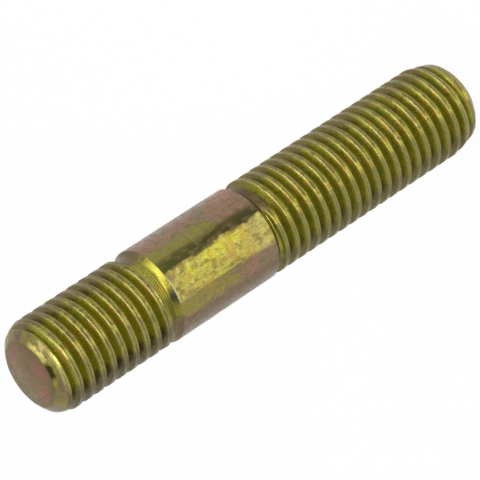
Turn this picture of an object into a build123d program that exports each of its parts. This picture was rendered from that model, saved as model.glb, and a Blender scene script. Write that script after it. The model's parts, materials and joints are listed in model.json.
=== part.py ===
from build123d import *
import math
import os

# A double ended stud: one rolled and plated steel bar with a short tap end, a plain shank and
# a long nut end, both threaded right-hand. It stands on its nut end, with the tap end up, and
# the Z axis is its own axis. All lengths are in millimetres and all angles in degrees.

# Lengths along the axis: the tap end goes into the tapped hole, the nut end takes the nut
TAP_LENGTH = 27.0
SHANK_LENGTH = 22.4
NUT_LENGTH = 51.6

# Diameters of the plain shank, over the thread crests, and of the necks beside the shank
SHANK_DIAMETER = 18.0
THREAD_DIAMETER = 17.7
NECK_DIAMETER = 16.3

# The thread's form, the same on both ends
PITCH = 2.5
THREAD_DEPTH = 1.38
ROOT_FLAT = 0.12
FLANK_ANGLE = 30.0

# The tap end's tip: a flat face, a chamfer out to a rim, and a taper under the first turns
TAP_FACE_DIAMETER = 12.5
TAP_RIM_DIAMETER = 16.1
TAP_CHAMFER = 1.4
TAP_TAPER = 2.0

# The nut end's tip, in the same order
NUT_FACE_DIAMETER = 12.0
NUT_RIM_DIAMETER = 15.6
NUT_CHAMFER = 1.6
NUT_TAPER = 4.1

# The necks: a shoulder up to the shank, a plain length, and the slope up to the thread crests
SHOULDER_SLOPE = 0.85
TAP_NECK_LENGTH = 1.9
NUT_NECK_LENGTH = 0.3
THREAD_SLOPE = 0.9

# The groove's last turns, where it climbs out of the bar, and how far short of the neck it ends
RUN_OUT_TURNS = 1.0
RUN_OUT_REACH = 0.6

# Where a crest crosses the front, -Y, counted from each end's own face
TAP_CREST_HEIGHT = 3.5
NUT_CREST_HEIGHT = 7.2

# How far the cutting tools stand out of the bar, and how much of a turn each of them cuts
CUT_MARGIN = 0.15
TURNS_PER_CUT = 1.0

TOTAL_LENGTH = NUT_LENGTH + SHANK_LENGTH + TAP_LENGTH
SHANK_START = NUT_LENGTH
SHANK_END = NUT_LENGTH + SHANK_LENGTH
SHANK_RADIUS = SHANK_DIAMETER / 2
THREAD_RADIUS = THREAD_DIAMETER / 2
NECK_RADIUS = NECK_DIAMETER / 2
NUT_THREAD_LENGTH = NUT_LENGTH - SHOULDER_SLOPE - NUT_NECK_LENGTH - THREAD_SLOPE
TAP_THREAD_LENGTH = TAP_LENGTH - SHOULDER_SLOPE - TAP_NECK_LENGTH - THREAD_SLOPE


def turned_bar():
    """The bar before it is threaded: half its outline, turned about its axis."""
    tap_thread_start = TOTAL_LENGTH - TAP_THREAD_LENGTH
    outline = Polyline(
        (0, 0),
        (NUT_FACE_DIAMETER / 2, 0),
        (NUT_RIM_DIAMETER / 2, NUT_CHAMFER),
        (THREAD_RADIUS, NUT_CHAMFER + NUT_TAPER),
        (THREAD_RADIUS, NUT_THREAD_LENGTH),
        (NECK_RADIUS, NUT_THREAD_LENGTH + THREAD_SLOPE),
        (NECK_RADIUS, SHANK_START - SHOULDER_SLOPE),
        (SHANK_RADIUS, SHANK_START),
        (SHANK_RADIUS, SHANK_END),
        (NECK_RADIUS, SHANK_END + SHOULDER_SLOPE),
        (NECK_RADIUS, tap_thread_start - THREAD_SLOPE),
        (THREAD_RADIUS, tap_thread_start),
        (THREAD_RADIUS, TOTAL_LENGTH - TAP_CHAMFER - TAP_TAPER),
        (TAP_RIM_DIAMETER / 2, TOTAL_LENGTH - TAP_CHAMFER),
        (TAP_FACE_DIAMETER / 2, TOTAL_LENGTH),
        (0, TOTAL_LENGTH),
        close=True,
    )
    return revolve(make_face(Plane.XZ * outline), axis=Axis.Z)


def groove_section(angle, height):
    """The V between two crests, in the half plane that leaves the axis at this angle."""
    root_radius = THREAD_RADIUS - THREAD_DEPTH
    outer_radius = THREAD_RADIUS + CUT_MARGIN
    half_root = ROOT_FLAT / 2
    half_mouth = half_root + (outer_radius - root_radius) * math.tan(math.radians(FLANK_ANGLE))
    outline = Polyline(
        (root_radius, height - half_root),
        (outer_radius, height - half_mouth),
        (outer_radius, height + half_mouth),
        (root_radius, height + half_root),
        close=True,
    )
    return Rot(0, 0, angle) * make_face(Plane.XZ * outline)


def groove_piece(angle, height, turns, cone_angle=0.0):
    """A piece of groove that climbs right-hand from this place, outwards on a cone if asked."""
    helix = Helix(PITCH, turns * PITCH, THREAD_RADIUS, cone_angle=cone_angle)
    path = Pos(0, 0, height) * Rot(0, 0, angle) * helix
    return sweep(groove_section(angle, height), path=path, is_frenet=True)


def groove_pieces(front_angle, crest_height, thread_length):
    """One end's whole groove, in pieces, with the end's face at height 0 and the shank above.

    It starts a turn below the face, half a pitch from the crest that crosses the front, and
    its last turns climb out of the bar before the neck.
    """
    root_height = crest_height + PITCH / 2
    start_height = root_height - PITCH * math.ceil(root_height / PITCH + 1)
    full_turns = (thread_length - start_height) / PITCH - RUN_OUT_REACH * RUN_OUT_TURNS
    pieces = []
    done = 0.0
    while done < full_turns:
        turns = min(TURNS_PER_CUT, full_turns - done)
        pieces.append(groove_piece(front_angle + 360 * done, start_height + PITCH * done, turns))
        done += turns
    rise = THREAD_DEPTH + CUT_MARGIN
    cone_angle = math.degrees(math.atan2(rise, RUN_OUT_TURNS * PITCH))
    end_angle = front_angle + 360 * full_turns
    end_height = start_height + PITCH * full_turns
    pieces.append(groove_piece(end_angle, end_height, RUN_OUT_TURNS, cone_angle))
    return pieces


def threaded_stud():
    """The bar with the groove of both ends cut into it, one piece after another."""
    nut_end = groove_pieces(-90.0, NUT_CREST_HEIGHT, NUT_THREAD_LENGTH)
    tap_end = groove_pieces(90.0, TAP_CREST_HEIGHT, TAP_THREAD_LENGTH)
    turned_over = Pos(0, 0, TOTAL_LENGTH) * Rot(180, 0, 0)
    stud = turned_bar()
    for piece in nut_end + [turned_over * piece for piece in tap_end]:
        stud = stud - piece
    return stud


os.makedirs("parts", exist_ok=True)
export_step(threaded_stud().solid(), "parts/stud.step")
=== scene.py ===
"""The double ended stud as the photograph shows it: rolled threads, yellow zinc plating and a studio."""

import json
import logging
import math
from collections.abc import Iterator
from contextlib import contextmanager
from dataclasses import dataclass, field
from enum import Enum
from typing import Union

import bpy
import numpy as np
from mathutils import Matrix, Vector, noise


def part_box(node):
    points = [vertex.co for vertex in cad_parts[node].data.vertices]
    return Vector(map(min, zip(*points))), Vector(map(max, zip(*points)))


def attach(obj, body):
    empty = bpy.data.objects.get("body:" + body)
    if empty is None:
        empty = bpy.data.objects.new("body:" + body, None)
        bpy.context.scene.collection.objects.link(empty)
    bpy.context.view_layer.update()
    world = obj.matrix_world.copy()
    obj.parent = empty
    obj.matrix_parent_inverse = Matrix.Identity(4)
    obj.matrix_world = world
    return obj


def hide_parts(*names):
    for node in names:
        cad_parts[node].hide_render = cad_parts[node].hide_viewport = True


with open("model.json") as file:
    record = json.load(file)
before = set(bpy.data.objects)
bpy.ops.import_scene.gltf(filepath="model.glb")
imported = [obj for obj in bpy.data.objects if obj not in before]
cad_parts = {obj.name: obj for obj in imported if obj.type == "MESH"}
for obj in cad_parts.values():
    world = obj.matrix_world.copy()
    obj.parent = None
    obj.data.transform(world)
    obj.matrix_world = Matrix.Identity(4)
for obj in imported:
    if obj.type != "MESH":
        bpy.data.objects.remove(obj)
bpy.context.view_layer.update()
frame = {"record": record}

log = logging.getLogger("stud")

NODE = "stud"
BODY = "root"

# One millimetre, in the scene's metres
MM = 0.001

# The front of the stud, the side that the camera looks at, is -Y
FRONT_ANGLE = -math.pi / 2

# Between these heights, in millimetres, the finish changes from the nut end's to the tap end's
TAP_HALF = (62.0, 64.0)

Lengths = Union[float, np.ndarray]


class Side(Enum):
    """Which end of the stud a thread is on, by the way its face looks along the axis."""

    NUT = -1
    TAP = 1


def smooth_step(low: float, high: float, value: np.ndarray) -> np.ndarray:
    """Rises smoothly from 0 at low to 1 at high.

    Args:
        low: Where the rise starts.
        high: Where it ends.
        value: The places to measure at.

    Returns:
        A share from 0 to 1 for each place.
    """
    share = np.clip((value - low) / (high - low), 0.0, 1.0)
    return share * share * (3.0 - 2.0 * share)


def smooth_min(first: np.ndarray, second: np.ndarray, blend: float) -> np.ndarray:
    """The smaller of two heights, with the corner between them rounded.

    Args:
        first: One set of heights.
        second: The other set.
        blend: How far the rounding reaches.

    Returns:
        The rounded smaller height at each place.
    """
    share = np.clip(0.5 + 0.5 * (second - first) / blend, 0.0, 1.0)
    return second + (first - second) * share - blend * share * (1.0 - share)


def read_points(piece: bpy.types.Object) -> np.ndarray:
    """The mesh's points in millimetres, one row each.

    Args:
        piece: The object that holds the mesh.

    Returns:
        The points.
    """
    flat = np.empty(len(piece.data.vertices) * 3, dtype=np.float32)
    piece.data.vertices.foreach_get("co", flat)
    return flat.reshape(-1, 3).astype(np.float64) / MM


def write_points(piece: bpy.types.Object, points: np.ndarray) -> None:
    """Puts points, in millimetres, back into the mesh."""
    piece.data.vertices.foreach_set("co", (points * MM).astype(np.float32).ravel())
    piece.data.update()


@contextmanager
def edit_mode() -> Iterator[None]:
    """Edit mode on the active object, with all of it selected, for as long as the block lasts."""
    bpy.ops.object.mode_set(mode="EDIT")
    bpy.ops.mesh.select_all(action="SELECT")
    yield
    bpy.ops.object.mode_set(mode="OBJECT")


@dataclass(frozen=True)
class Waviness:
    """Smooth unevenness of the surface: the size of its lumps, its pattern and its depth, in millimetres."""

    lump: float
    pattern: float
    depth: float

    def at(self, points: np.ndarray) -> np.ndarray:
        """Noise from about -1 to 1 at each place."""
        return np.array([noise.noise(Vector(place)) for place in points / self.lump + self.pattern])


@dataclass(frozen=True)
class ThreadForm:
    """The section of a rolled thread, in millimetres: a V groove between broad, seamed crests."""

    pitch: float = 2.5
    crest_radius: float = 8.85
    root_radius: float = 7.47
    flank_angle: float = math.radians(30)
    crest_half: float = 0.38
    crest_round: float = 0.16
    root_round: float = 0.3
    seam_depth: float = 0.1

    # The seam's reach to each side, as a share of the crest's half width
    seam_spread: float = 0.55

    # Heights of the strip's rows over one pitch, on one side of a crest's centre
    half_rows: tuple[float, ...] = (0.13, 0.25, 0.34, 0.42, 0.5, 0.58, 0.7, 0.9, 1.08)

    def rows(self) -> list[float]:
        """The heights of one pitch's rows, from one root to the next."""
        half = [*self.half_rows, self.pitch / 2]
        return [-height for height in reversed(half)] + [0.0] + half

    def radius(self, offset: np.ndarray, seam: float) -> np.ndarray:
        """The thread's radius beside a crest.

        Args:
            offset: Height above or below the nearest crest's centre.
            seam: How much of the seam's full depth the crest has.

        Returns:
            The radius at each place.
        """
        away = np.abs(offset)
        across = away / (self.seam_spread * self.crest_half)
        top = self.crest_radius - self.seam_depth * seam * np.exp(-(across ** 2))
        flank = self.crest_radius + (self.crest_half - away) / math.tan(self.flank_angle)
        outer = smooth_min(top, flank, self.crest_round)
        return -smooth_min(-outer, np.full_like(outer, -self.root_radius), self.root_round)


@dataclass(frozen=True)
class ThreadedEnd:
    """One end of the stud, with heights counted from its own flat face, in millimetres."""

    side: Side
    length: float
    face_radius: float
    rim_radius: float
    chamfer: float
    taper: float
    neck_length: float
    neck_radius: float

    # Where a crest crosses the front, and where the crests and the roots fade into the neck
    crest_height: float
    crest_fade: tuple[float, float]
    root_fade: tuple[float, float]

    # How much of the seam's full depth these crests have
    seam: float
    form: ThreadForm = field(default_factory=ThreadForm)
    shoulder: float = 0.85
    slope: float = 0.9

    # Fine turned rings on the neck, which fade in beside the end of the thread
    ring_gap: float = 0.55
    ring_depth: float = 0.03
    ring_fade: tuple[float, float] = (-0.6, 0.4)

    # How far from a crest's centre its dents die out, and how far two surfaces blend where they meet
    dent_fade: tuple[float, float] = (0.6, 0.2)
    bar_blend: float = 0.06
    shoulder_blend: float = 0.05

    def outline(self, shank_radius: float) -> list[tuple[float, float]]:
        """The end's outline as (height, radius), from its face to the shank's edge.

        Args:
            shank_radius: The radius of the shank at this end.

        Returns:
            The outline's corners.
        """
        thread_end = self.thread_end()
        return [
            (0.0, self.face_radius),
            (self.chamfer, self.rim_radius),
            (self.chamfer + self.taper, self.form.crest_radius),
            (thread_end, self.form.crest_radius),
            (thread_end + self.slope, self.neck_radius),
            (self.length - self.shoulder, self.neck_radius),
            (self.length, shank_radius),
        ]

    def local_height(self, height: Lengths, total: float) -> Lengths:
        """Heights counted from this end's face instead of from the stud's foot."""
        return height if self.side is Side.NUT else total - height

    def pressed_radius(self, angle: np.ndarray, height: np.ndarray, total: float,
                       outline: np.ndarray, crest_wear: np.ndarray) -> np.ndarray:
        """The radius of the rolled surface.

        Args:
            angle: The angle about the axis, in radians.
            height: The height above the stud's foot.
            total: The stud's whole length.
            outline: The turned outline's radius at each place.
            crest_wear: How far the crest is dented in at each place.

        Returns:
            The radius at each place.
        """
        offset = self.crest_offset(angle, height, total)
        section = self.form.radius(offset, self.seam)
        section = section - crest_wear * smooth_step(*self.dent_fade, np.abs(offset))
        local = self.local_height(height, total)
        raised = self.raised_share(angle, height, total)
        sunk = 1.0 - smooth_step(*self.root_fade, local)
        step = section - self.neck_radius
        section = self.neck_radius + np.where(step > 0, step * raised, step * sunk)
        past_thread = local > self.thread_end()
        bar = np.where(past_thread, self.form.crest_radius, outline)
        pressed = smooth_min(section, bar, self.bar_blend)
        rings = self.ring_depth * np.cos(math.tau * local / self.ring_gap)
        rings = rings * smooth_step(*self.ring_fade, local - self.thread_end())
        pressed = pressed - rings - self.ring_depth * past_thread
        into_shoulder = local - (self.length - self.shoulder)
        on_shoulder = smooth_step(-self.shoulder_blend, self.shoulder_blend, into_shoulder)
        return pressed + (outline - pressed) * on_shoulder

    def thread_end(self) -> float:
        """The local height at which the thread starts to run out."""
        return self.length - self.shoulder - self.neck_length - self.slope

    def crest_offset(self, angle: np.ndarray, height: np.ndarray, total: float) -> np.ndarray:
        """The signed height above the nearest crest's centre, in millimetres.

        Args:
            angle: The angle about the axis.
            height: The height above the stud's foot.
            total: The stud's whole length.

        Returns:
            The height above the crest at each place.
        """
        at_front = self.local_height(self.crest_height, total)
        turns = (height - at_front) / self.form.pitch - (angle - FRONT_ANGLE) / math.tau
        return (turns - np.round(turns)) * self.form.pitch

    def raised_share(self, angle: np.ndarray, height: np.ndarray, total: float) -> np.ndarray:
        """How much of its full height the nearest crest has left, from 1 down to 0 at the neck."""
        crest = self.local_height(height - self.crest_offset(angle, height, total), total)
        return 1.0 - smooth_step(*self.crest_fade, crest)


@dataclass
class PlatedStud:
    """The stud itself: one bar with a thread rolled on each end and plating all over."""

    total: float
    shank_start: float
    shank_end: float
    shank_radius: float
    nut_end: ThreadedEnd
    tap_end: ThreadedEnd

    # The wound strip: points in a turn, turns under the shank, and its reach past both ends
    columns: int = 128
    plain_turns: int = 5
    reach_below: float = 60.0
    turns_above: float = 12.0
    spare_turns: float = 1.5

    # The small bevels on the turned edges, how near to a cut a point is moved onto it, how near
    # two points are joined, and up to which angle the surface is shaded smooth
    edge_reach: float = 0.11
    edge_round: float = 0.22
    snap: float = 0.02
    weld: float = 0.002
    smooth_angle: float = math.radians(44)

    # The shank is a little thinner at the nut end, and the chamfers are slightly crowned
    nut_end_drop: float = 0.06
    chamfer_crown: float = 0.12

    # Dents in the crests, and the unevenness of the shank with the one bulge left standing, all
    # from noise that is read on a cylinder of this radius
    wave_radius: float = 8.8
    crest_wave: Waviness = Waviness(6.0, 11.0, 0.03)
    crest_dents: Waviness = Waviness(1.3, 3.7, 0.12)
    dent_share: tuple[float, float] = (0.28, 0.6)
    shank_wave: Waviness = Waviness(5.0, 21.0, 0.012)
    bulge_height: float = 66.3
    bulge_angle: float = math.pi
    bulge_reach: tuple[float, float] = (1.6, 0.8)
    bulge_rise: float = 0.05

    def corners(self) -> list[tuple[float, float]]:
        """The whole outline's corners as (height, radius), from the foot up.

        Returns:
            The corners.
        """
        lower = self.nut_end.outline(self.shank_radius - self.nut_end_drop)
        upper = self.tap_end.outline(self.shank_radius)
        return lower + [(self.total - height, radius) for height, radius in reversed(upper)]

    def rounded_outline(self) -> np.ndarray:
        """The outline with each corner cut back, so that it takes a small bevel.

        Returns:
            Rows of height and radius, from the foot up.
        """
        corners = [np.array(corner) for corner in self.corners()]
        heights, radii = np.transpose(corners)
        reach = self.edge_reach
        low, high = reach, self.total - reach
        rounded = [corners[0] - (0.0, reach), np.array((low, np.interp(low, heights, radii)))]
        for before, corner, after in zip(corners, corners[1:], corners[2:]):
            down = (before - corner) / np.linalg.norm(before - corner)
            up = (after - corner) / np.linalg.norm(after - corner)
            rounded.append(corner + down * reach)
            rounded.append(corner + (down + up) * reach * self.edge_round)
            rounded.append(corner + up * reach)
        rounded += [np.array((high, np.interp(high, heights, radii))), corners[-1] - (0.0, reach)]
        return np.array(rounded)

    def wind_strip(self) -> bpy.types.Object:
        """Winds one strip from end to end, with its rows along the threads.

        A point is extruded up one pitch of rows, the row is wound about the axis, and the turns
        under the shank are stretched so that both threads keep their own start.

        Returns:
            The wound tube, longer than the stud at both ends.
        """
        form = self.nut_end.form
        rows = form.rows()
        foot = self.strip_foot()
        bpy.ops.object.select_all(action="DESELECT")
        bpy.ops.mesh.primitive_plane_add(
            size=form.pitch * MM, location=(form.crest_radius * MM, 0.0, (foot + rows[0]) * MM))
        strip = bpy.context.active_object
        with edit_mode():
            bpy.ops.mesh.merge(type="CENTER")
            for low, high in zip(rows, rows[1:]):
                bpy.ops.mesh.extrude_region_move(
                    TRANSFORM_OT_translate={"value": (0.0, 0.0, (high - low) * MM)})
        bpy.ops.object.transform_apply(location=True, rotation=True, scale=True)
        bpy.ops.object.modifier_add(type="SCREW")
        screw = strip.modifiers[-1]
        screw.axis = "Z"
        screw.angle = math.tau
        screw.screw_offset = form.pitch * MM
        screw.steps = self.columns
        screw.render_steps = self.columns
        screw.iterations = self.strip_turns()
        bpy.ops.object.modifier_apply(modifier=screw.name)
        with edit_mode():
            bpy.ops.mesh.remove_doubles(threshold=self.weld * MM)
        self.stretch_under_shank(strip)
        return strip

    def strip_foot(self) -> float:
        """The height of the strip's first crest at angle 0, safely below the foot.

        Returns:
            The height, in millimetres.
        """
        pitch = self.nut_end.form.pitch
        at_zero = self.nut_end.crest_height - FRONT_ANGLE / math.tau * pitch
        return at_zero - pitch * math.ceil(at_zero / pitch + 1.0)

    def stretch_points(self) -> tuple[np.ndarray, np.ndarray]:
        """Where the wound strip's raw heights have to go.

        Returns:
            Raw heights and the heights that they map to, both rising.
        """
        pitch = self.nut_end.form.pitch
        low = self.shank_start - self.nut_end.shoulder
        high = self.shank_end + self.tap_end.shoulder
        tap_foot = self.total - self.tap_end.crest_height - FRONT_ANGLE / math.tau * pitch
        raw_high = high - (tap_foot - self.strip_foot()) % pitch
        raw_high += pitch * round((self.plain_turns * pitch - (raw_high - low)) / pitch)
        below = low - self.reach_below
        above = self.turns_above * pitch
        raw = np.array([below, low, raw_high, raw_high + above])
        real = np.array([below, low, high, high + above])
        return raw, real

    def strip_turns(self) -> int:
        """How many turns the strip needs to pass the top.

        Returns:
            The number of whole turns.
        """
        raw, real = self.stretch_points()
        pitch = self.nut_end.form.pitch
        top = np.interp(self.total + self.spare_turns * pitch, real, raw)
        return math.ceil((top - self.strip_foot()) / pitch)

    def stretch_under_shank(self, strip: bpy.types.Object) -> None:
        """Spreads the turns between the two threads over the shank.

        Args:
            strip: The wound tube.
        """
        points = read_points(strip)
        points[:, 2] = np.interp(points[:, 2], *self.stretch_points())
        write_points(strip, points)

    def cut_rings(self, strip: bpy.types.Object) -> None:
        """Cuts a ring of edges at every height of the outline, and closes the two ends.

        Args:
            strip: The wound tube.
        """
        heights = self.rounded_outline()[:, 0]
        with edit_mode():
            for height in heights:
                bpy.ops.mesh.select_all(action="SELECT")
                bpy.ops.mesh.bisect(
                    plane_co=(0.0, 0.0, height * MM), plane_no=(0.0, 0.0, 1.0), threshold=self.snap * MM,
                    use_fill=height in (heights[0], heights[-1]),
                    clear_inner=height == heights[0], clear_outer=height == heights[-1])
        points = read_points(strip)
        for height in heights:
            near = np.abs(points[:, 2] - height) < 1.5 * self.snap
            points[near, 2] = height
        write_points(strip, points)
        with edit_mode():
            bpy.ops.mesh.remove_doubles(threshold=0.5 * self.snap * MM)
            bpy.ops.mesh.dissolve_degenerate(threshold=0.5 * self.snap * MM)

    def at_nut_end(self, height: np.ndarray) -> np.ndarray:
        """Whether each height is below the shank's middle."""
        return height < 0.5 * (self.shank_start + self.shank_end)

    def shape_surface(self, piece: bpy.types.Object) -> None:
        """Moves every point in or out to the stud's real surface.

        Args:
            piece: The closed tube.
        """
        points = read_points(piece)
        angle = np.arctan2(points[:, 1], points[:, 0])
        height = points[:, 2]
        outline = self.rounded_outline()
        turned = np.interp(height, outline[:, 0], outline[:, 1])
        outward = (np.cos(angle), np.sin(angle))
        on_bar = np.column_stack((*[self.wave_radius * part for part in outward], height))
        dents = smooth_step(*self.dent_share, self.crest_dents.at(on_bar))
        crest_wear = self.crest_wave.depth * self.crest_wave.at(on_bar) + self.crest_dents.depth * dents
        ends = (self.nut_end, self.tap_end)
        pressed = [end.pressed_radius(angle, height, self.total, turned, crest_wear) for end in ends]
        on_shank = (height >= self.shank_start) & (height <= self.shank_end)
        radius = np.where(on_shank, turned, np.where(self.at_nut_end(height), *pressed))
        for end in ends:
            share = np.clip(end.local_height(height, self.total) / end.chamfer, 0.0, 1.0)
            radius = radius + self.chamfer_crown * 4.0 * share * (1.0 - share)
        radius = radius - self.shank_wear(on_bar, angle, height) * on_shank
        write_points(piece, np.column_stack((*[radius * part for part in outward], height)))
        self.mark_areas(piece, angle, height)

    def mark_areas(self, piece: bpy.types.Object, angle: np.ndarray, height: np.ndarray) -> None:
        """Stores which area each point is in and where it lies on the thread, for the finish to follow.

        Args:
            piece: The closed tube.
            angle: Each point's angle about the axis.
            height: Each point's height above the foot.
        """
        ends = (self.nut_end, self.tap_end)
        at_nut = self.at_nut_end(height)
        offset = np.where(at_nut, *[end.crest_offset(angle, height, self.total) for end in ends])
        raised = np.where(at_nut, *[end.raised_share(angle, height, self.total) for end in ends])
        from_end = np.minimum(height, self.total - height)
        past_chamfer = from_end - np.where(at_nut, *[end.chamfer for end in ends])
        phase = offset / self.nut_end.form.pitch * math.tau
        soft = 0.5 * self.edge_reach
        shank = smooth_step(self.shank_start - soft, self.shank_start + soft, height)
        shank = shank * smooth_step(self.shank_end + soft, self.shank_end - soft, height)
        marks = {
            "crest_wave": np.cos(phase),
            "side_wave": np.sin(phase),
            "thread": raised * (1.0 - shank) * smooth_step(-soft, soft, past_chamfer),
            "shank": shank,
            "face": smooth_step(soft, 0.0, from_end),
            "chamfer": smooth_step(soft, -soft, past_chamfer),
        }
        for name, values in marks.items():
            layer = piece.data.attributes.new(name, "FLOAT", "POINT")
            layer.data.foreach_set("value", values.astype(np.float32))

    def shank_wear(self, on_bar: np.ndarray, angle: np.ndarray, height: np.ndarray) -> np.ndarray:
        """How far the shank lies below its full radius, with one bulge left standing.

        Args:
            on_bar: The places on the bar.
            angle: The angle about the axis.
            height: The height above the foot.

        Returns:
            The depth at each place, in millimetres.
        """
        around_reach, height_reach = self.bulge_reach
        turn = np.abs(np.angle(np.exp(1j * (angle - self.bulge_angle)))) * self.shank_radius
        away = (turn / around_reach) ** 2 + ((height - self.bulge_height) / height_reach) ** 2
        wave = self.shank_wave.depth * (1.0 + self.shank_wave.at(on_bar))
        return (wave + self.bulge_rise) * (1.0 - np.exp(-away))

    def build(self) -> bpy.types.Object:
        """Models the stud and leaves its object at the origin.

        Returns:
            The finished piece.
        """
        piece = self.wind_strip()
        self.cut_rings(piece)
        self.shape_surface(piece)
        piece.name = "plated_stud"
        piece.data.name = "plated_stud"
        with edit_mode():
            bpy.ops.mesh.normals_make_consistent(inside=False)
        bpy.ops.object.shade_smooth_by_angle(angle=self.smooth_angle)
        return piece

    def dress(self, piece: bpy.types.Object, finish: "YellowZinc") -> None:
        """Gives the stud its plating and ties it to the frame.

        Args:
            piece: The finished piece.
            finish: The plating.
        """
        piece.data.materials.clear()
        piece.data.materials.append(finish.material())
        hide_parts(NODE)
        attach(piece, BODY)


Socket = bpy.types.NodeSocket
Amount = Union[float, Socket]
Tone = tuple[int, int, int]
Colour = tuple[float, float, float, float]
Shade = Union[Socket, Tone]


@dataclass(frozen=True)
class Cloud:
    """Cloudy noise: the number that picks it, its lumps' size in millimetres and its finer layers.

    The stretch is below 1 along an axis on which the lumps are drawn out.
    """

    number: float
    lump: float
    detail: float = 2.0
    stretch: tuple[float, float, float] = (1.0, 1.0, 1.0)


class Pattern(Enum):
    """The patterns of noise on the plating."""

    PATCHES = Cloud(1.0, 3.2)
    MOTTLE = Cloud(5.0, 0.9, 3.0)
    GRAIN = Cloud(9.0, 0.22)
    DRAWN = Cloud(14.0, 0.42, 3.0, (1.0, 1.0, 0.09))
    SWAY = Cloud(33.0, 6.0, 1.0, (1.0, 1.0, 0.3))
    UNEVEN = Cloud(41.0, 0.95, 3.0, (1.0, 1.0, 0.5))
    SCRATCHES = Cloud(51.0, 1.0, 0.0, (0.8, 0.5, 0.03))
    CROSSING_SCRATCHES = Cloud(57.0, 1.0, 0.0, (0.8, 0.5, 0.03))


@dataclass(frozen=True)
class Layer:
    """A layer of colour: its tone, and how much of what is under it the layer hides."""

    tone: Tone
    strength: float = 1.0


class NodeBench:
    """Adds and joins the nodes of one material or world."""

    def __init__(self, made: Union[bpy.types.Material, bpy.types.World],
                 shader: str = "Principled BSDF") -> None:
        """Starts from the nodes that Blender gives a new material or world.

        Args:
            made: The material or the world.
            shader: The name of its shader.
        """
        made.use_nodes = True
        self.made = made
        self.nodes = made.node_tree.nodes
        self.links = made.node_tree.links
        self.shader = self.nodes[shader]

    def add(self, kind: str, **settings: str) -> bpy.types.Node:
        """Adds a node of this kind, with its settings.

        Args:
            kind: Blender's name for it.
            **settings: Its options, by their names.

        Returns:
            The node.
        """
        node = self.nodes.new(kind)
        for name, value in settings.items():
            setattr(node, name, value)
        return node

    def put(self, target: Socket, value: Union[Amount, Colour]) -> None:
        """Links a value to a socket, or writes it there.

        Args:
            target: The socket.
            value: What it gets.
        """
        if isinstance(value, Socket):
            self.links.new(value, target)
        else:
            target.default_value = value

    def math(self, operation: str, first: Amount, second: Amount = 0.0) -> Socket:
        """The result of one sum.

        Args:
            operation: The name of Blender's operation.
            first: Its first value.
            second: Its second value.

        Returns:
            The result.
        """
        node = self.add("ShaderNodeMath", operation=operation)
        self.put(node.inputs[0], first)
        self.put(node.inputs[1], second)
        return node.outputs[0]

    def vector(self, operation: str, place: Socket,
               other: tuple[float, float, float] = (0.0, 0.0, 0.0)) -> bpy.types.Node:
        """A node that works on a place and a fixed vector.

        Args:
            operation: The name of Blender's operation.
            place: The coordinates.
            other: The fixed vector.

        Returns:
            The node.
        """
        node = self.add("ShaderNodeVectorMath", operation=operation)
        self.put(node.inputs[0], place)
        node.inputs[1].default_value = other
        return node

    def stretched(self, place: Socket, stretch: tuple[float, float, float]) -> Socket:
        """Coordinates multiplied along each axis."""
        return self.vector("MULTIPLY", place, stretch).outputs["Vector"]

    def part(self, place: Socket, axis: str) -> Socket:
        """One coordinate of a place.

        Args:
            place: The coordinates.
            axis: Which one, as X, Y or Z.

        Returns:
            The coordinate.
        """
        node = self.add("ShaderNodeSeparateXYZ")
        self.put(node.inputs[0], place)
        return node.outputs[axis]

    def rise(self, value: Amount, low: float, high: float, top: float = 1.0) -> Socket:
        """A smooth rise from 0 at low to top at high, or a fall where low is above high.

        Args:
            value: The measure that it follows.
            low: Where it is 0.
            high: Where it reaches the top.
            top: What it rises to.

        Returns:
            The share.
        """
        node = self.add("ShaderNodeMapRange", interpolation_type="SMOOTHSTEP")
        start, stop, first, last = (low, high, 0.0, top) if low < high else (high, low, top, 0.0)
        self.put(node.inputs["Value"], value)
        node.inputs["From Min"].default_value = start
        node.inputs["From Max"].default_value = stop
        node.inputs["To Min"].default_value = first
        node.inputs["To Max"].default_value = last
        return node.outputs["Result"]

    def band(self, value: Amount, low: float, high: float, soft: float) -> Socket:
        """1 between low and high, falling to 0 over the soft width on both sides."""
        above = self.rise(value, low - soft, low + soft)
        return self.both(above, self.rise(value, high + soft, high - soft))

    def both(self, first: Amount, second: Amount) -> Socket:
        """The product of two shares."""
        return first if second == 1.0 else self.math("MULTIPLY", first, second)

    def less(self, share: Amount, strength: float = 1.0) -> Socket:
        """What a share of this strength leaves of 1."""
        return self.math("SUBTRACT", 1.0, self.both(share, strength))

    def noise(self, place: Socket, pattern: Pattern) -> Socket:
        """Cloudy noise, mostly from 0.3 to 0.7.

        Args:
            place: The coordinates, in millimetres.
            pattern: Which of the patterns it is.

        Returns:
            The noise.
        """
        cloud = pattern.value
        node = self.add("ShaderNodeTexNoise", noise_dimensions="4D")
        self.put(node.inputs["Vector"], self.stretched(place, cloud.stretch))
        node.inputs["W"].default_value = cloud.number
        node.inputs["Scale"].default_value = 1.0 / cloud.lump
        node.inputs["Detail"].default_value = cloud.detail
        return node.outputs["Fac"]

    def sway(self, value: Amount, unevenness: Socket, reach: Amount) -> Socket:
        """A measure that noise moves up and down by at most half the reach."""
        swing = self.math("MULTIPLY", self.math("SUBTRACT", unevenness, 0.5), reach)
        return self.math("ADD", value, swing)

    def mark(self, name: str) -> Socket:
        """One of the marks that the mesh carries."""
        return self.add("ShaderNodeAttribute", attribute_name=name).outputs["Fac"]

    def mix(self, share: Amount, first: Shade, second: Shade) -> Socket:
        """A colour between two others.

        Args:
            share: How much of the second there is.
            first: The first colour.
            second: The second colour.

        Returns:
            The mixed colour.
        """
        node = self.add("ShaderNodeMix", data_type="RGBA")
        self.put(node.inputs["Factor"], share)
        self.put(node.inputs[6], self.colour(first))
        self.put(node.inputs[7], self.colour(second))
        return node.outputs[2]

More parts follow.
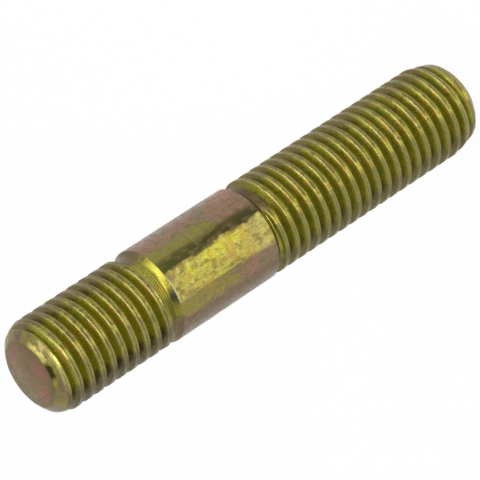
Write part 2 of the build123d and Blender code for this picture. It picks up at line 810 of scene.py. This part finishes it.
    def cover(self, under: Shade, layer: Layer, *shares: Amount) -> Socket:
        """Lays a layer over a colour.

        Args:
            under: The colour under it.
            layer: The layer.
            *shares: Where it lies; they are multiplied.

        Returns:
            The new colour.
        """
        share = layer.strength
        for part in shares:
            share = self.both(part, share)
        return self.mix(share, under, layer.tone)

    def colour(self, tone: Shade) -> Union[Socket, Colour]:
        """A tone as the shader takes it; tones are written as a screen shows them, from 0 to 255.

        Args:
            tone: The tone, or a socket, which stays as it is.

        Returns:
            The colour or the socket.
        """
        if isinstance(tone, Socket):
            return tone
        shown = [part / 255 for part in tone]
        return (*[((part + 0.055) / 1.055) ** 2.4 for part in shown], 1.0)


class StudBench(NodeBench):
    """The bench for the plating, with the places and the noise that its colours follow.

    Lengths are in millimetres. Around runs from -1 at the bar's upper edge to 1 at its lower edge,
    seen from the front with the nut end to the right, and front from 1 at the front to -1 at the back.
    """

    def __init__(self) -> None:
        """Lays out the measures that several colours share."""
        super().__init__(bpy.data.materials.new("yellow_zinc"))
        metres = self.add("ShaderNodeTexCoord").outputs["Object"]
        self.place = self.stretched(metres, (1.0 / MM, 1.0 / MM, 1.0 / MM))
        self.flat = self.stretched(self.place, (1.0, 1.0, 0.0))
        self.radius = self.vector("LENGTH", self.flat).outputs["Value"]
        self.height = self.part(self.place, "Z")
        outward = self.vector("NORMALIZE", self.flat).outputs["Vector"]
        self.around = self.math("MULTIPLY", self.part(outward, "X"), -1.0)
        self.front = self.math("MULTIPLY", self.part(outward, "Y"), -1.0)
        # The front half, where most of the painted highlights and shade lie
        self.facing = self.rise(self.front, 0.0, 0.3)
        self.on_tap = self.rise(self.height, *TAP_HALF)
        self.patches = self.noise(self.place, Pattern.PATCHES)
        self.mottle = self.noise(self.place, Pattern.MOTTLE)
        self.grain = self.noise(self.place, Pattern.GRAIN)
        self.drawn = self.noise(self.place, Pattern.DRAWN)
        # The bar's upper and lower edges as seen from the front, where a painted grazing reflection turns
        # the colours mauve-brown
        self.side = self.rise(self.sway(self.math("ABSOLUTE", self.around), self.patches, 0.5), 0.66, 0.9)


@dataclass(frozen=True)
class Streak:
    """One lengthwise streak on the shank: its edges around the bar and how soft they are.

    Heights are in millimetres above the foot, and a patchier streak has more gaps.
    """

    low: float
    high: float
    soft: float
    layer: Layer
    heights: tuple[float, float] = (0.0, 200.0)
    patchy: float = 0.1


@dataclass(frozen=True)
class Stain:
    """One soft round stain on the tap end's face, placed in millimetres from the axis."""

    right: float
    back: float
    reach: float
    layer: Layer


@dataclass(frozen=True)
class YellowZinc:
    """Zinc plating with a yellow chromate film, which turned olive, mauve and pink in patches.

    Heights and radii are in millimetres. Some of the colours are painted light: highlights, reflections and
    shade.
    """

    # The film on the threads and necks
    olive: Tone = (156, 149, 66)
    deep_olive: Tone = (156, 151, 56)
    green: Layer = Layer((128, 142, 46), 0.75)
    rust: Layer = Layer((170, 132, 60), 0.5)
    # Painted grazing reflection: the bar's edges, as seen from the front, turn mauve-brown
    side_reflection_tint: Layer = Layer((124, 110, 80), 0.75)

    # The threads
    tap_film: Layer = Layer((186, 180, 66), 0.22)
    crest_brown: Tone = (138, 125, 78)
    crest_mauve: Layer = Layer((144, 126, 102), 0.5)
    # Painted light: the crests on the bar's lower half are paler
    crest_lower_lit: Layer = Layer((148, 142, 82))
    # Painted highlights on the crests along the bar's middle
    crest_highlight: Layer = Layer((214, 200, 98), 0.9)
    # Painted grazing reflection on the crests at the bar's edges
    crest_side_reflection: Layer = Layer((134, 122, 84), 0.75)
    # Painted shade in the seam along each crest's middle
    seam: Layer = Layer((106, 92, 58), 0.55)
    # An orange line above the crests, along the bar's middle
    orange_line: Layer = Layer((170, 132, 60))
    # Painted highlights on the crests' lips
    lip_highlight: Layer = Layer((196, 182, 112))
    lower_shade: Layer = Layer((70, 66, 32))
    # Painted grazing reflection on the tap end's thread at the bar's edges
    tap_side_reflection: Layer = Layer((108, 92, 84), 0.2)

    # Distances from a crest's centre: its whole width, its seam, its lips and the orange line above it
    crest_width: tuple[float, float] = (-0.5, 0.42)
    seam_width: tuple[float, float] = (-0.1, 0.14)
    upper_lip: tuple[float, float] = (0.24, 0.46)
    lower_lip: tuple[float, float] = (-0.46, -0.3)
    orange_width: tuple[float, float] = (0.45, 0.85)

    # The shank
    mauve: Tone = (144, 126, 102)
    pink: Tone = (162, 124, 106)
    shank_brown: Layer = Layer((124, 110, 80), 0.6)
    straw: Layer = Layer((216, 202, 124), 0.6)
    dull_patch: Layer = Layer((156, 141, 76), 0.85)
    green_patch: Layer = Layer((190, 188, 60), 0.5)
    cream_patch: Layer = Layer((236, 226, 132), 0.7)
    orange_patch: Layer = Layer((204, 160, 84), 0.45)
    tan_patch: Layer = Layer((198, 172, 116), 0.4)
    draw_line: Layer = Layer((70, 66, 32), 0.25)
    # Painted highlight along the shank's edge at the tap end
    edge_highlight: Layer = Layer((226, 222, 188), 0.8)
    # Where the painted bright reflection band lies around the bar
    reflection_band: tuple[float, float] = (-0.19, 0.45)
    straw_heights: tuple[float, float] = (60.0, 53.0)
    edge_highlight_heights: tuple[float, float] = (73.65, 73.85)

    # The necks and shoulders
    # Painted light on the tap end's neck
    neck_lit: Layer = Layer((197, 189, 76), 0.8)
    # Painted highlight on the tap end's neck along the bar's middle
    gold_highlight: Layer = Layer((208, 168, 66), 0.8)
    ring_line: Layer = Layer((96, 84, 36), 0.75)
    # Painted shade on the tap end's shoulder, on the front
    shoulder_shade: Layer = Layer((60, 60, 56), 0.9)
    # Painted shade on the neck's lower side
    neck_lower_shade: Layer = Layer((90, 82, 40), 0.65)
    # Painted grazing reflection on the tap end's neck at the bar's edges
    neck_side_reflection: Layer = Layer((122, 104, 82), 0.75)
    nut_neck: Tone = (97, 81, 55)
    nut_neck_light: Tone = (116, 98, 67)
    shoulder_top: tuple[float, float] = (75.1, 74.8)
    gold_highlight_heights: tuple[float, float] = (75.4, 76.4)
    ring_gap: float = 0.45

    # The chamfers
    chamfer_olive: Layer = Layer((156, 149, 66), 0.8)
    chamfer_brown: Layer = Layer((120, 96, 84), 0.5)
    chamfer_lower: Layer = Layer((158, 150, 66), 0.7)
    # Painted duller reflection on the chamfer's outer part, beside its highlight
    chamfer_outer_reflection: Layer = Layer((122, 108, 66), 0.8)
    # Painted highlight on the chamfer's inner part
    chamfer_highlight: Layer = Layer((214, 203, 112))
    # Painted dark reflection below the chamfer's highlight
    chamfer_dark_reflection: Layer = Layer((66, 60, 26))
    chamfer_green: Layer = Layer((172, 168, 60))
    # Painted highlight on the chamfer's rim, on the front
    rim_highlight: Layer = Layer((214, 204, 142), 0.75)
    inner_radii: tuple[float, float] = (7.2, 6.9)
    rim_radii: tuple[float, float] = (7.72, 7.82)

    # The flat faces
    face_tone: Tone = (143, 114, 86)
    face_light: Tone = (144, 122, 84)
    face_rim: Layer = Layer((126, 114, 74), 0.6)
    scored_line: Layer = Layer((92, 74, 60), 0.55)
    face_fleck: Layer = Layer((152, 134, 86), 0.4)
    face_rim_radii: tuple[float, float] = (4.6, 6.2)
    scored_at: tuple[float, float] = (-4.5, -4.35)
    stain_heart: float = 0.2

    # All over: scratches, specks, the roughness with its spread over the mottle, and the bump
    scratch: Layer = Layer((96, 84, 52), 0.35)
    speck: Layer = Layer((70, 66, 32), 0.3)
    roughness: float = 0.24
    roughness_spread: float = 0.2
    bump_height: float = 0.02

    # Among the streaks, the bright band with its brighter middle and the dark streak above it are painted
    # reflections
    streaks: tuple[Streak, ...] = (
        Streak(0.72, 1.10, 0.08, Layer((122, 106, 82), 0.8)),
        Streak(-0.68, -0.40, 0.08, Layer((144, 140, 66), 0.9), (60.0, 76.0), 0.4),
        Streak(-0.45, -0.17, 0.07, Layer((112, 104, 62), 0.8)),
        # Painted dark reflection above the bright band
        Streak(-0.41, -0.17, 0.08, Layer((72, 68, 39), 0.93), (40.0, 74.0), 0.44),
        Streak(-0.41, -0.20, 0.05, Layer((84, 96, 40), 0.6), (66.0, 76.0), 0.46),
        Streak(0.43, 0.72, 0.06, Layer((154, 146, 70), 0.9), (61.0, 76.0), 0.4),
        # Painted reflection: the bright band
        Streak(-0.185, 0.42, 0.03, Layer((210, 197, 94))),
        # Painted highlight in the bright band's middle
        Streak(-0.15, 0.10, 0.08, Layer((238, 230, 82), 0.9), (57.0, 70.0)),
        Streak(-0.20, 0.02, 0.06, Layer((128, 112, 66), 0.7), (70.5, 76.0), 0.4),
        Streak(0.405, 0.45, 0.02, Layer((112, 100, 60), 0.6), (56.0, 72.0)),
    )

    # How softly the streaks' gaps and ends fade, and how far the streaks stray at the back
    patchy_soft: float = 0.12
    streak_end: float = 1.5
    back_sway: float = 1.6

    stains: tuple[Stain, ...] = (
        Stain(4.4, 1.8, 3.2, Layer((165, 116, 99), 0.85)),
        Stain(-0.6, -4.0, 3.2, Layer((169, 114, 105), 0.85)),
        Stain(-4.2, -0.8, 3.0, Layer((165, 114, 99), 0.85)),
        Stain(1.5, -0.6, 2.2, Layer((138, 110, 82), 0.85)),
        Stain(-1.6, 3.8, 2.4, Layer((134, 116, 79), 0.85)),
    )

    # The scratches: how their noise is turned, its level and their half width
    slants: tuple[tuple[float, Pattern], ...] = (
        (0.6, Pattern.SCRATCHES), (-0.35, Pattern.CROSSING_SCRATCHES))
    scratch_tilt: float = 0.4
    scratch_level: float = 0.56
    scratch_half: float = 0.012

    def material(self) -> bpy.types.Material:
        """Builds the material.

        Returns:
            The node material.
        """
        bench = StudBench()
        film = self.film(bench)
        colour = bench.mix(bench.mark("thread"), self.neck(bench, film), self.threads(bench, film))
        colour = bench.mix(bench.mark("shank"), colour, self.shank(bench))
        colour = bench.mix(bench.mark("chamfer"), colour, self.chamfer(bench))
        colour = bench.mix(bench.mark("face"), colour, self.face(bench))
        scratches = self.scratches(bench)
        colour = bench.cover(colour, self.scratch, scratches)
        colour = bench.cover(colour, self.speck, bench.rise(bench.grain, 0.62, 0.36))
        bench.put(bench.shader.inputs["Base Color"], colour)
        bench.shader.inputs["Metallic"].default_value = 1.0
        spread = bench.rise(bench.mottle, 0.3, 0.7, self.roughness_spread)
        bench.put(bench.shader.inputs["Roughness"], bench.math("ADD", self.roughness, spread))
        self.roughen(bench, scratches)
        return bench.made

    def scratches(self, bench: StudBench) -> Socket:
        """Long thin scratches across the shank and the faces.

        Args:
            bench: The plating's bench.

        Returns:
            1 in a scratch and 0 beside it.
        """
        found = []
        for slant, pattern in self.slants:
            turned = bench.add("ShaderNodeVectorRotate", rotation_type="EULER_XYZ")
            bench.put(turned.inputs["Vector"], bench.place)
            turned.inputs["Rotation"].default_value = (self.scratch_tilt, slant, slant)
            lines = bench.noise(turned.outputs[0], pattern)
            away = bench.math("ABSOLUTE", bench.math("SUBTRACT", lines, self.scratch_level))
            found.append(bench.rise(away, self.scratch_half, 0.0))
        smooth = bench.math("MAXIMUM", bench.mark("shank"), bench.mark("face"))
        return bench.both(bench.math("MAXIMUM", *found), smooth)

    def film(self, bench: StudBench) -> Socket:
        """The film's own colour, on the threads and the tap end's neck, with a painted grazing reflection at
        the bar's edges.

        Args:
            bench: The plating's bench.

        Returns:
            The colour.
        """
        colour = bench.mix(bench.rise(bench.patches, 0.42, 0.6), self.deep_olive, self.olive)
        greening = bench.sway(bench.mottle, bench.patches, 0.8)
        colour = bench.cover(colour, self.green, bench.rise(greening, 0.5, 0.64))
        colour = bench.cover(colour, self.rust, bench.rise(bench.mottle, 0.42, 0.32))
        return bench.cover(colour, self.side_reflection_tint, bench.side)

    def threads(self, bench: StudBench, film: Socket) -> Socket:
        """The colour over the threads: the film in the grooves, and the crests with painted highlights on
        their lips, and painted shade on the bar's lower side.

        The pattern is drawn for the nut end's crests and is wider on the tap end's broader ones.

        Args:
            bench: The plating's bench.
            film: The film's colour.

        Returns:
            The colour.
        """
        turn = bench.math("ARCTAN2", bench.mark("side_wave"), bench.mark("crest_wave"))
        offset = bench.math("MULTIPLY", turn, ThreadForm().pitch / math.tau)
        offset = bench.math("MULTIPLY", offset, bench.less(bench.on_tap, 0.16))
        offset = bench.sway(offset, bench.mottle, 0.24)
        film = bench.cover(film, self.tap_film, bench.on_tap, bench.less(bench.side))
        colour = bench.mix(bench.band(offset, *self.crest_width, 0.07), film, self.crests(bench, offset))
        # An orange line above the crests, along the bar's middle
        colour = bench.cover(
            colour, self.orange_line, bench.band(offset, *self.orange_width, 0.12),
            bench.band(bench.around, -0.3, 0.3, 0.1), bench.rise(bench.mottle, 0.46, 0.6))
        colour = bench.cover(colour, self.lip_highlight, self.lip_highlights(bench, offset))
        shaded = bench.math("ADD", 0.3, bench.both(bench.on_tap, 0.2))
        colour = bench.cover(colour, self.lower_shade, bench.rise(bench.around, 0.62, 0.88), shaded)
        # Painted grazing reflection on the tap end's thread at the bar's edges
        return bench.cover(colour, self.tap_side_reflection, bench.on_tap, bench.side)

    def crests(self, bench: StudBench, offset: Socket) -> Socket:
        """The colour of the crests: dull olive, with painted light on the bar's lower half, painted
        highlights along its middle, a painted grazing reflection at its edges and painted shade in the seam.

        Args:
            bench: The plating's bench.
            offset: The distance above a crest's centre, in millimetres.

        Returns:
            The colour.
        """
        lower_half = bench.rise(bench.around, 0.05, 0.35)
        colour = bench.mix(bench.rise(bench.mottle, 0.4, 0.6), self.crest_brown, self.olive)
        colour = bench.cover(colour, self.crest_mauve, bench.rise(bench.patches, 0.52, 0.62))
        # Painted light on the crests of the bar's lower half
        colour = bench.cover(colour, self.crest_lower_lit, lower_half, bench.less(bench.side, 0.9))
        # Painted highlights on the crests along the bar's middle, broken by the mottle and the patches
        highlight_share = bench.both(bench.band(bench.around, 0.0, 0.24, 0.08), bench.rise(bench.mottle, 0.3, 0.5))
        highlight_share = bench.both(highlight_share, bench.math("ADD", 0.45, bench.rise(bench.patches, 0.4, 0.56, 0.5)))
        highlight_share = bench.both(highlight_share, bench.less(bench.on_tap, 0.4))
        colour = bench.cover(colour, self.crest_highlight, highlight_share)
        # Painted grazing reflection on the crests at the bar's edges
        colour = bench.cover(colour, self.crest_side_reflection, bench.side)
        # Painted shade in the crest's seam, stronger on the tap end and weaker where the highlights are
        seam = bench.both(bench.band(offset, *self.seam_width, 0.06), bench.rise(bench.mottle, 0.6, 0.42))
        deeper_shade = bench.math("ADD", 1.0, bench.both(bench.on_tap, 0.6))
        return bench.cover(colour, self.seam, seam, deeper_shade, bench.less(highlight_share, 0.8))

    def lip_highlights(self, bench: StudBench, offset: Socket) -> Socket:
        """The broken painted highlight on the crests' lips.

        The upper lips have it on the bar's upper half and the lower ones nearly all round. The tap
        end's have it everywhere, but weaker.

        Args:
            bench: The plating's bench.
            offset: The distance above a crest's centre, in millimetres.

        Returns:
            1 on the line and 0 beside it.
        """
        tap_lips = bench.both(bench.on_tap, 0.6)
        upper_share = bench.math("MAXIMUM", bench.rise(bench.around, -0.02, -0.3), tap_lips)
        lower_share = bench.math("MAXIMUM", bench.rise(bench.around, -0.75, -0.3), tap_lips)
        upper = bench.both(bench.band(offset, *self.upper_lip, 0.08), upper_share)
        lower = bench.both(bench.band(offset, *self.lower_lip, 0.07), lower_share)
        lip_highlights = bench.both(bench.math("MAXIMUM", upper, lower), bench.rise(bench.mottle, 0.34, 0.52))
        return bench.both(bench.both(lip_highlights, bench.less(bench.on_tap, 0.3)), bench.less(bench.side, 0.9))

    def shank(self, bench: StudBench) -> Socket:
        """The colour of the plain shank: mauve, with lengthwise streaks, among them a painted bright
        reflection band with patches on it and a painted dark reflection above it, and a painted highlight
        along its edge at the tap end.

        Args:
            bench: The plating's bench.

        Returns:
            The colour.
        """
        slow = bench.noise(bench.place, Pattern.SWAY)
        across = bench.sway(bench.around, slow, bench.rise(bench.front, 0.1, -0.5, self.back_sway))
        for unevenness, reach in ((bench.mottle, 0.08), (bench.drawn, 0.12), (bench.patches, 0.1)):
            across = bench.sway(across, unevenness, reach)
        uneven = bench.noise(bench.place, Pattern.UNEVEN)
        colour = bench.mix(bench.rise(bench.patches, 0.4, 0.58), self.mauve, self.pink)
        colour = bench.cover(colour, self.shank_brown, bench.rise(bench.mottle, 0.5, 0.7))
        along = bench.sway(bench.height, bench.patches, 12.0)
        for streak in self.streaks:
            colour = bench.cover(
                colour, streak.layer, bench.band(across, streak.low, streak.high, streak.soft),
                bench.rise(uneven, streak.patchy - self.patchy_soft, streak.patchy + self.patchy_soft),
                bench.band(along, *streak.heights, self.streak_end))
        # Patches on the painted bright reflection band
        on_reflection_band = bench.band(across, *self.reflection_band, 0.03)
        for layer, share in (
                (self.straw, bench.rise(bench.height, *self.straw_heights)),
                (self.dull_patch, bench.rise(uneven, 0.52, 0.36)),
                (self.green_patch, bench.rise(uneven, 0.56, 0.68)),
                (self.cream_patch, bench.rise(bench.mottle, 0.54, 0.68)),
                (self.orange_patch, bench.rise(bench.patches, 0.52, 0.6)),
                (self.tan_patch, bench.rise(bench.patches, 0.46, 0.38))):
            colour = bench.cover(colour, layer, on_reflection_band, share)
        colour = bench.cover(colour, self.draw_line, bench.rise(bench.drawn, 0.5, 0.3))
        # Painted highlight along the shank's edge at the tap end, on the front
        return bench.cover(
            colour, self.edge_highlight, bench.rise(bench.height, *self.edge_highlight_heights),
            bench.band(bench.around, -0.1, 0.4, 0.08), bench.facing)

    def neck(self, bench: StudBench, film: Socket) -> Socket:
        """The colour of the necks and shoulders beside the shank, with painted light, highlights, shade and
        grazing reflection on the tap end's.

        Args:
            bench: The plating's bench.
            film: The film's colour.

        Returns:
            The colour.
        """
        wobble = bench.sway(bench.height, bench.mottle, 0.45)
        rings = bench.math("SINE", bench.math("MULTIPLY", wobble, math.tau / self.ring_gap))
        on_shoulder = bench.rise(bench.height, *self.shoulder_top)
        on_neck = bench.less(on_shoulder)
        beside = bench.sway(bench.around, bench.mottle, 0.3)
        far = bench.rise(bench.math("ABSOLUTE", beside), 0.55, 0.82)
        tap = film
        for layer, *shares in (
                # Painted light on the tap end's neck
                (self.neck_lit, bench.band(bench.around, -0.75, 0.25, 0.15),
                 bench.rise(bench.mottle, 0.35, 0.6)),
                # Painted highlight on the neck along the bar's middle
                (self.gold_highlight, bench.band(beside, -0.1, 0.14, 0.09),
                 bench.band(wobble, *self.gold_highlight_heights, 0.35)),
                (self.ring_line, bench.rise(rings, -0.2, 0.9), on_neck),
                # Painted shade on the shoulder, on the front
                (self.shoulder_shade, on_shoulder, bench.band(beside, 0.12, 0.42, 0.13), bench.facing),
                # Painted shade on the neck's lower side
                (self.neck_lower_shade, bench.rise(bench.around, 0.1, 0.4), on_neck),
                # Painted grazing reflection at the bar's edges
                (self.neck_side_reflection, far)):
            tap = bench.cover(tap, layer, *shares)
        nut = bench.mix(bench.rise(bench.mottle, 0.4, 0.6), self.nut_neck, self.nut_neck_light)
        return bench.mix(bench.on_tap, nut, tap)

    def chamfer(self, bench: StudBench) -> Socket:
        """The colour of the chamfers round the two faces, with painted highlights and painted reflections.

        Args:
            bench: The plating's bench.

        Returns:
            The colour.
        """
        radius = bench.sway(bench.radius, bench.mottle, 1.0)
        # The chamfer's inner part on the front, where its painted highlight and reflections lie
        inner = bench.both(bench.rise(radius, *self.inner_radii), bench.facing)
        blend = bench.sway(bench.patches, bench.mottle, 0.6)
        beside = bench.sway(bench.around, bench.mottle, 0.2)
        rim = bench.both(bench.rise(bench.radius, *self.rim_radii), bench.band(beside, -0.1, 0.6, 0.15))
        colour = self.mauve
        for layer, *shares in (
                (self.chamfer_olive, bench.rise(blend, 0.36, 0.66)),
                (self.chamfer_brown, bench.rise(blend, 0.46, 0.34)),
                (self.chamfer_lower, bench.band(bench.around, 0.0, 0.45, 0.1)),
                # Painted duller reflection on the chamfer's outer part
                (self.chamfer_outer_reflection, bench.band(bench.around, -0.62, -0.08, 0.08),
                 bench.rise(bench.mottle, 0.3, 0.6)),
                # Painted highlight on the chamfer's inner part
                (self.chamfer_highlight, bench.band(bench.around, -0.66, -0.06, 0.06), inner),
                # Painted dark reflection below the highlight
                (self.chamfer_dark_reflection, bench.band(beside, 0.03, 0.4, 0.07), inner),
                (self.chamfer_green, bench.band(beside, 0.44, 0.62, 0.07), inner),
                # Painted highlight on the rim, on the front
                (self.rim_highlight, rim, bench.facing)):
            colour = bench.cover(colour, layer, *shares)
        return colour

    def face(self, bench: StudBench) -> Socket:
        """The colour of the flat faces.

        Args:
            bench: The plating's bench.

        Returns:
            The colour.
        """
        colour = bench.mix(bench.rise(bench.patches, 0.4, 0.6), self.face_tone, self.face_light)
        for stain in self.stains:
            away = bench.vector("DISTANCE", bench.flat, (stain.right, stain.back, 0.0)).outputs["Value"]
            away = bench.sway(away, bench.mottle, 2.5)
            colour = bench.cover(
                colour, stain.layer, bench.rise(away, stain.reach, self.stain_heart * stain.reach))
        rim = bench.sway(bench.radius, bench.patches, 2.5)
        colour = bench.cover(colour, self.face_rim, bench.rise(rim, *self.face_rim_radii))
        scored = bench.sway(bench.part(bench.place, "X"), bench.patches, 0.8)
        colour = bench.cover(colour, self.scored_line, bench.band(scored, *self.scored_at, 0.09))
        return bench.cover(colour, self.face_fleck, bench.rise(bench.mottle, 0.55, 0.7))

    def roughen(self, bench: StudBench, scratches: Socket) -> None:
        """Adds the fine grain, the draw marks and the scratches as bump.

        Args:
            bench: The plating's bench.
            scratches: Where the scratches are.
        """
        fine = bench.math("ADD", bench.grain, bench.both(bench.drawn, bench.mark("shank")))
        heights = bench.math("ADD", bench.both(bench.mottle, 2.0), fine)
        heights = bench.math("SUBTRACT", heights, bench.both(scratches, 0.5))
        bump = bench.add("ShaderNodeBump")
        bump.inputs["Strength"].default_value = 1.0
        bump.inputs["Distance"].default_value = self.bump_height * MM
        bench.put(bump.inputs["Height"], heights)
        bench.put(bench.shader.inputs["Normal"], bump.outputs["Normal"])


@dataclass(frozen=True)
class PhotoCamera:
    """The camera, as the photograph's view was worked out. Lengths are in millimetres."""

    photo_width: int = 480
    axis_pixel: tuple[float, float] = (237.6, 238.6)
    axis_height: float = 53.1
    elevation: float = math.radians(30.0)
    axis_slope: float = math.radians(33.3)
    distance: float = 646.4
    focal_pixels: float = 3725.0
    sensor: float = 36.0

    # The nearest and farthest things that it sees, in metres
    clip: tuple[float, float] = (0.01, 100.0)

    def place(self) -> bpy.types.Object:
        """Adds the camera and makes it the scene's.

        Returns:
            The camera object.
        """
        toward = Vector((0.0, -math.cos(self.elevation), math.sin(self.elevation)))
        up_axis = (Vector((0.0, 0.0, 1.0)) - toward * toward.z).normalized()
        across = Vector((1.0, 0.0, 0.0))
        right = -math.cos(self.axis_slope) * up_axis - math.sin(self.axis_slope) * across
        top = -math.sin(self.axis_slope) * up_axis + math.cos(self.axis_slope) * across
        middle = self.photo_width / 2
        pixel = self.distance / self.focal_pixels
        aside = right * (middle - self.axis_pixel[0]) * pixel
        aside -= top * (middle - self.axis_pixel[1]) * pixel
        bpy.ops.object.camera_add()
        camera = bpy.context.active_object
        camera.name = "photo_camera"
        camera.data.sensor_width = self.sensor
        camera.data.lens = self.focal_pixels / self.photo_width * self.sensor
        camera.data.clip_start, camera.data.clip_end = self.clip
        turn = Matrix((right, top, toward)).transposed().to_4x4()
        spot = (Vector((0.0, 0.0, self.axis_height)) + toward * self.distance + aside) * MM
        camera.matrix_world = Matrix.Translation(spot) @ turn
        bpy.context.scene.camera = camera
        return camera


@dataclass(frozen=True)
class SoftLamp:
    """A square lamp: where it stands as seen from the stud, in metres, and its power in watts."""

    name: str
    toward: tuple[float, float, float]
    distance: float
    size: float
    power: float


@dataclass(frozen=True)
class Studio:
    """A plain white floor, a sky that darkens overhead, and soft lamps. Lengths are in metres."""

    floor_size: float = 12.0
    white: Colour = (1.0, 1.0, 1.0, 1.0)
    floor_colour: Colour = (0.9, 0.9, 0.9, 1.0)
    floor_roughness: float = 0.9
    floor_glow: float = 0.95
    sky_strength: float = 0.9
    sky_fall: float = 0.18
    fall_between: tuple[float, float] = (0.25, 0.75)
    lamp_target: float = 0.05
    lamps: tuple[SoftLamp, ...] = (
        SoftLamp("side_lamp", (0.40, -0.36, 0.84), 0.5, 0.26, 0.6),
        SoftLamp("front_lamp", (0.0, -0.9, 0.5), 0.9, 0.4, 3.0),
    )

    def build(self) -> None:
        """Adds the floor, the sky and the lamps."""
        self.add_floor()
        self.add_sky()
        for lamp in self.lamps:
            self.add_lamp(lamp)
        bpy.context.scene.view_settings.view_transform = "Standard"

    def add_floor(self) -> None:
        """Adds the white floor, which looks white to the camera and in the metal, and takes a shadow."""
        bpy.ops.mesh.primitive_plane_add(size=self.floor_size)
        floor = bpy.context.active_object
        floor.name = "floor"
        bench = NodeBench(bpy.data.materials.new("white_floor"))
        bench.shader.inputs["Base Color"].default_value = self.floor_colour
        bench.shader.inputs["Roughness"].default_value = self.floor_roughness
        glow = bench.add("ShaderNodeEmission")
        glow.inputs["Color"].default_value = self.white
        rays = bench.add("ShaderNodeLightPath").outputs
        seen = bench.math("MAXIMUM", rays["Is Camera Ray"], rays["Is Glossy Ray"])
        seen = bench.math("MAXIMUM", seen, rays["Is Transmission Ray"])
        mix = bench.add("ShaderNodeMixShader")
        bench.put(mix.inputs["Fac"], bench.both(seen, self.floor_glow))
        bench.put(mix.inputs[1], bench.shader.outputs[0])
        bench.put(mix.inputs[2], glow.outputs[0])
        bench.put(bench.nodes["Material Output"].inputs["Surface"], mix.outputs[0])
        floor.data.materials.append(bench.made)

    def add_sky(self) -> None:
        """Makes the world white at the horizon and a little darker overhead."""
        bench = NodeBench(bpy.data.worlds.new("sky"), "Background")
        bpy.context.scene.world = bench.made
        bench.shader.inputs["Color"].default_value = self.white
        upward = bench.part(bench.add("ShaderNodeTexCoord").outputs["Generated"], "Z")
        fall = bench.rise(upward, *self.fall_between, self.sky_fall)
        bench.put(bench.shader.inputs["Strength"], bench.math("SUBTRACT", self.sky_strength, fall))

    def add_lamp(self, lamp: SoftLamp) -> None:
        """Adds a soft lamp that looks at the stud's middle.

        Args:
            lamp: The lamp.
        """
        bpy.ops.object.light_add(type="AREA")
        made = bpy.context.active_object
        made.name = lamp.name
        made.data.shape = "SQUARE"
        made.data.size = lamp.size
        made.data.energy = lamp.power
        away = Vector(lamp.toward).normalized()
        middle = Vector((0.0, 0.0, self.lamp_target))
        turn = away.to_track_quat("Z", "Y").to_matrix().to_4x4()
        made.matrix_world = Matrix.Translation(middle + away * lamp.distance) @ turn


def mount_named(record: dict, name: str) -> dict:
    """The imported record's mount of this name."""
    return next(mount for mount in record["mounts"] if mount["name"] == name)


def measured_stud(record: dict) -> PlatedStud:
    """Takes the stud's main sizes from the frame, and adds those of its threads.

    Args:
        record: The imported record.

    Returns:
        The stud, ready to build.
    """
    low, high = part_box(NODE)
    total = (high[2] - low[2]) / MM
    shank = mount_named(record, "shank")
    middle = shank["pos_m"][2] / MM
    half = shank["dims"]["length_mm"] / 2
    nut_end = ThreadedEnd(
        side=Side.NUT, length=middle - half, face_radius=6.0, rim_radius=7.8, chamfer=1.6, taper=4.1,
        neck_length=0.3, neck_radius=8.15, crest_height=7.2, crest_fade=(49.68, 49.88),
        root_fade=(48.8, 50.4), seam=0.6)
    tap_end = ThreadedEnd(
        side=Side.TAP, length=total - middle - half, face_radius=6.25, rim_radius=8.05, chamfer=1.4,
        taper=2.0, neck_length=1.9, neck_radius=8.15, crest_height=3.5, crest_fade=(24.1, 25.0),
        root_fade=(22.9, 24.9), seam=1.0, form=ThreadForm(crest_half=0.45))
    return PlatedStud(
        total=total, shank_start=middle - half, shank_end=middle + half,
        shank_radius=shank["dims"]["r_mm"], nut_end=nut_end, tap_end=tap_end)


def main() -> None:
    """Builds the camera, the studio and the stud, in that order."""
    logging.basicConfig(level=logging.INFO, format="%(message)s")
    PhotoCamera().place()
    log.info("photo_camera placed")
    Studio().build()
    log.info("floor, sky and lamps built")
    stud = measured_stud(frame["record"])
    piece = stud.build()
    stud.dress(piece, YellowZinc())
    log.info("%s: %d points, %d faces", piece.name, len(piece.data.vertices), len(piece.data.polygons))


if __name__ == "__main__":
    main()
